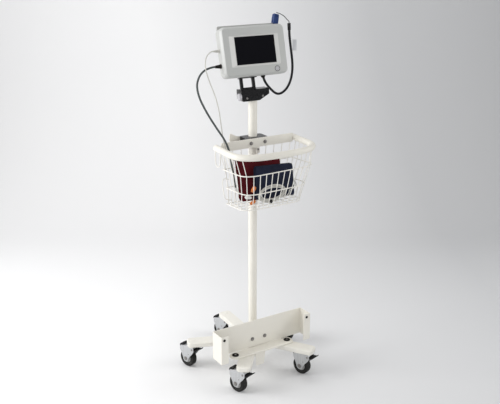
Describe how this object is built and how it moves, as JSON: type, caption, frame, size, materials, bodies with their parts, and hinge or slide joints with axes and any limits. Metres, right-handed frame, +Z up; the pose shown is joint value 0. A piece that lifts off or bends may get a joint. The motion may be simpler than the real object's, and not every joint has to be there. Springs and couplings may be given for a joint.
{
  "type": "patient monitor",
  "caption": "Bedside patient monitor tilting on a pole clamp, with a wheeled roll stand, wire accessory basket and low sheet-metal holder.",
  "frame": {"origin": "on the floor under the middle of the stand and monitor, leads left out", "axes": "+Z up along the pole, -Y towards the user, +X to the user's right"},
  "size_m": [0.5494, 0.5834, 1.4608],
  "materials": {
    "cream_cast": "cast, painted satin",
    "cream_paint": "satin powder coat",
    "caster_steel": "pressed and plated",
    "basket_wire": "coated wire",
    "caster_tread": "dull",
    "black_plastic": "moulded, fine grain",
    "black_rubber": "dull",
    "clamp_black": "black enamel",
    "panel_grey": "painted, satin",
    "shell_grey": "moulded, fine grain",
    "screen_glass": "glossy black",
    "button_silver": "silver",
    "hose_grey": "smooth",
    "lead_grey": "smooth cable jacket",
    "cable_black": "smooth cable jacket",
    "clip_blue": "moulded",
    "burgundy_cloth": "woven nylon",
    "navy_cloth": "woven nylon",
    "tag_film": "thin film",
    "board": "circuit board",
    "battery_wrap": "wrapped cells",
    "pin_steel": "ground"
  },
  "bodies": {
    "stand": {"base_hub": "cream_cast", "leg_1": "cream_cast", "leg_2": "cream_cast", "leg_3": "cream_cast", "leg_4": "cream_cast", "leg_5": "cream_cast", "pole": "cream_paint", "holder_bracket": "cream_paint", "holder_stay": "cream_paint", "holder_bar": "cream_paint", "rubber_pad_left": "black_rubber", "rubber_pad_right": "black_rubber", "basket_rim": "cream_paint", "basket_back_plate": "cream_paint", "basket_clamp": "clamp_black", "basket_wires_front": "basket_wire", "basket_wires_left": "basket_wire", "basket_wires_right": "basket_wire", "basket_wires_back": "basket_wire", "basket_wires_floor": "basket_wire", "cuff_burgundy": "burgundy_cloth", "cuff_navy": "navy_cloth", "lead_coil": "lead_grey", "hose_lower": "hose_grey", "lead_lower": "lead_grey"},
    "caster_1": {"caster_fork_1": "caster_steel"},
    "wheel_1": {"caster_wheel_1": "caster_tread"},
    "pedal_1": {"brake_pedal_1": "black_plastic"},
    "caster_2": {"caster_fork_2": "caster_steel"},
    "wheel_2": {"caster_wheel_2": "caster_tread"},
    "pedal_2": {"brake_pedal_2": "black_plastic"},
    "caster_3": {"caster_fork_3": "caster_steel"},
    "wheel_3": {"caster_wheel_3": "caster_tread"},
    "pedal_3": {"brake_pedal_3": "black_plastic"},
    "caster_4": {"caster_fork_4": "caster_steel"},
    "wheel_4": {"caster_wheel_4": "caster_tread"},
    "pedal_4": {"brake_pedal_4": "black_plastic"},
    "caster_5": {"caster_fork_5": "caster_steel"},
    "wheel_5": {"caster_wheel_5": "caster_tread"},
    "pedal_5": {"brake_pedal_5": "black_plastic"},
    "head": {"head_clamp": "clamp_black", "tilt_pin": "pin_steel", "hose_upper": "hose_grey", "lead_upper": "lead_grey"},
    "knob": {"clamp_knob": "button_silver"},
    "monitor": {"mount_yoke": "clamp_black", "front_bezel": "panel_grey", "rear_case": "shell_grey", "screen": "screen_glass", "main_board": "board", "battery_pack": "battery_wrap", "lead_boot": "lead_grey", "hose_boot": "black_rubber", "sensor_cable": "cable_black", "sensor_plug": "black_plastic", "sensor_lead": "cable_black", "cable_tag": "tag_film", "clip_jaw_front": "clip_blue"},
    "button": {"power_button": "button_silver"},
    "clip": {"clip_jaw_rear": "clip_blue"}
  },
  "joints": [
    {"name": "caster_1_swivel", "type": "hinge", "parent": "stand", "child": "caster_1", "pos_m": [0.24455, 0.03107, 0.1025], "axis": [0, 0, 1], "continuous": true},
    {"name": "caster_1_roll", "type": "hinge", "parent": "caster_1", "child": "wheel_1", "pos_m": [0.23628, 0.05991, 0.0375], "axis": [0.9613, 0.2756, 0], "continuous": true},
    {"name": "caster_1_brake", "type": "hinge", "parent": "caster_1", "child": "pedal_1", "pos_m": [0.24675, 0.02338, 0.0885], "axis": [0.9613, 0.2756, 0], "range_deg": [0, 18]},
    {"name": "caster_2_swivel", "type": "hinge", "parent": "stand", "child": "caster_2", "pos_m": [0.01491, 0.22376, 0.1025], "axis": [0, 0, 1], "continuous": true},
    {"name": "caster_2_roll", "type": "hinge", "parent": "caster_2", "child": "wheel_2", "pos_m": [0.00664, 0.2526, 0.0375], "axis": [0.9613, 0.2756, 0], "continuous": true},
    {"name": "caster_2_brake", "type": "hinge", "parent": "caster_2", "child": "pedal_2", "pos_m": [0.01712, 0.21607, 0.0885], "axis": [0.9613, 0.2756, 0], "range_deg": [0, 18]},
    {"name": "caster_3_swivel", "type": "hinge", "parent": "stand", "child": "caster_3", "pos_m": [-0.23931, 0.06491, 0.1025], "axis": [0, 0, 1], "continuous": true},
    {"name": "caster_3_roll", "type": "hinge", "parent": "caster_3", "child": "wheel_3", "pos_m": [-0.24758, 0.09375, 0.0375], "axis": [0.9613, 0.2756, 0], "continuous": true},
    {"name": "caster_3_brake", "type": "hinge", "parent": "caster_3", "child": "pedal_3", "pos_m": [-0.2371, 0.05722, 0.0885], "axis": [0.9613, 0.2756, 0], "range_deg": [0, 18]},
    {"name": "caster_4_swivel", "type": "hinge", "parent": "stand", "child": "caster_4", "pos_m": [-0.16679, -0.22596, 0.1025], "axis": [0, 0, 1], "continuous": true},
    {"name": "caster_4_roll", "type": "hinge", "parent": "caster_4", "child": "wheel_4", "pos_m": [-0.17506, -0.19712, 0.0375], "axis": [0.9613, 0.2756, 0], "continuous": true},
    {"name": "caster_4_brake", "type": "hinge", "parent": "caster_4", "child": "pedal_4", "pos_m": [-0.16458, -0.23365, 0.0885], "axis": [0.9613, 0.2756, 0], "range_deg": [0, 18]},
    {"name": "caster_5_swivel", "type": "hinge", "parent": "stand", "child": "caster_5", "pos_m": [0.13225, -0.24687, 0.1025], "axis": [0, 0, 1], "continuous": true},
    {"name": "caster_5_roll", "type": "hinge", "parent": "caster_5", "child": "wheel_5", "pos_m": [0.12398, -0.21803, 0.0375], "axis": [0.9613, 0.2756, 0], "continuous": true},
    {"name": "caster_5_brake", "type": "hinge", "parent": "caster_5", "child": "pedal_5", "pos_m": [0.13446, -0.25456, 0.0885], "axis": [0.9613, 0.2756, 0], "range_deg": [0, 18]},
    {"name": "head_swivel", "type": "hinge", "parent": "stand", "child": "head", "pos_m": [-0.00288, -0.03061, 1.16], "axis": [0, 0, 1], "range_deg": [-60, 60], "deforming": ["hose_lower", "lead_lower"]},
    {"name": "knob_turn", "type": "hinge", "parent": "head", "child": "knob", "pos_m": [-0.06253, -0.0402, 1.14806], "axis": [0.9859, -0.1597, 0.0506], "continuous": true},
    {"name": "head_tilt", "type": "hinge", "parent": "head", "child": "monitor", "pos_m": [-0.00479, -0.04246, 1.178], "axis": [0.9859, -0.1597, 0.0506], "range_deg": [-15, 15], "deforming": ["hose_upper", "lead_upper", "sensor_cable"]},
    {"name": "power_button_press", "type": "slide", "parent": "monitor", "child": "button", "axis": [0.1665, 0.9668, -0.194], "range_m": [0, 0.0012], "stiffness_N_per_m": 400, "springref_m": -0.0006},
    {"name": "clip_open", "type": "hinge", "parent": "monitor", "child": "clip", "pos_m": [0.10804, -0.01802, 1.44205], "axis": [0.9569, -0.2059, -0.2047], "range_deg": [0, 20], "stiffness_Nm_per_rad": 0.3, "springref_deg": -11.46}
  ]
}
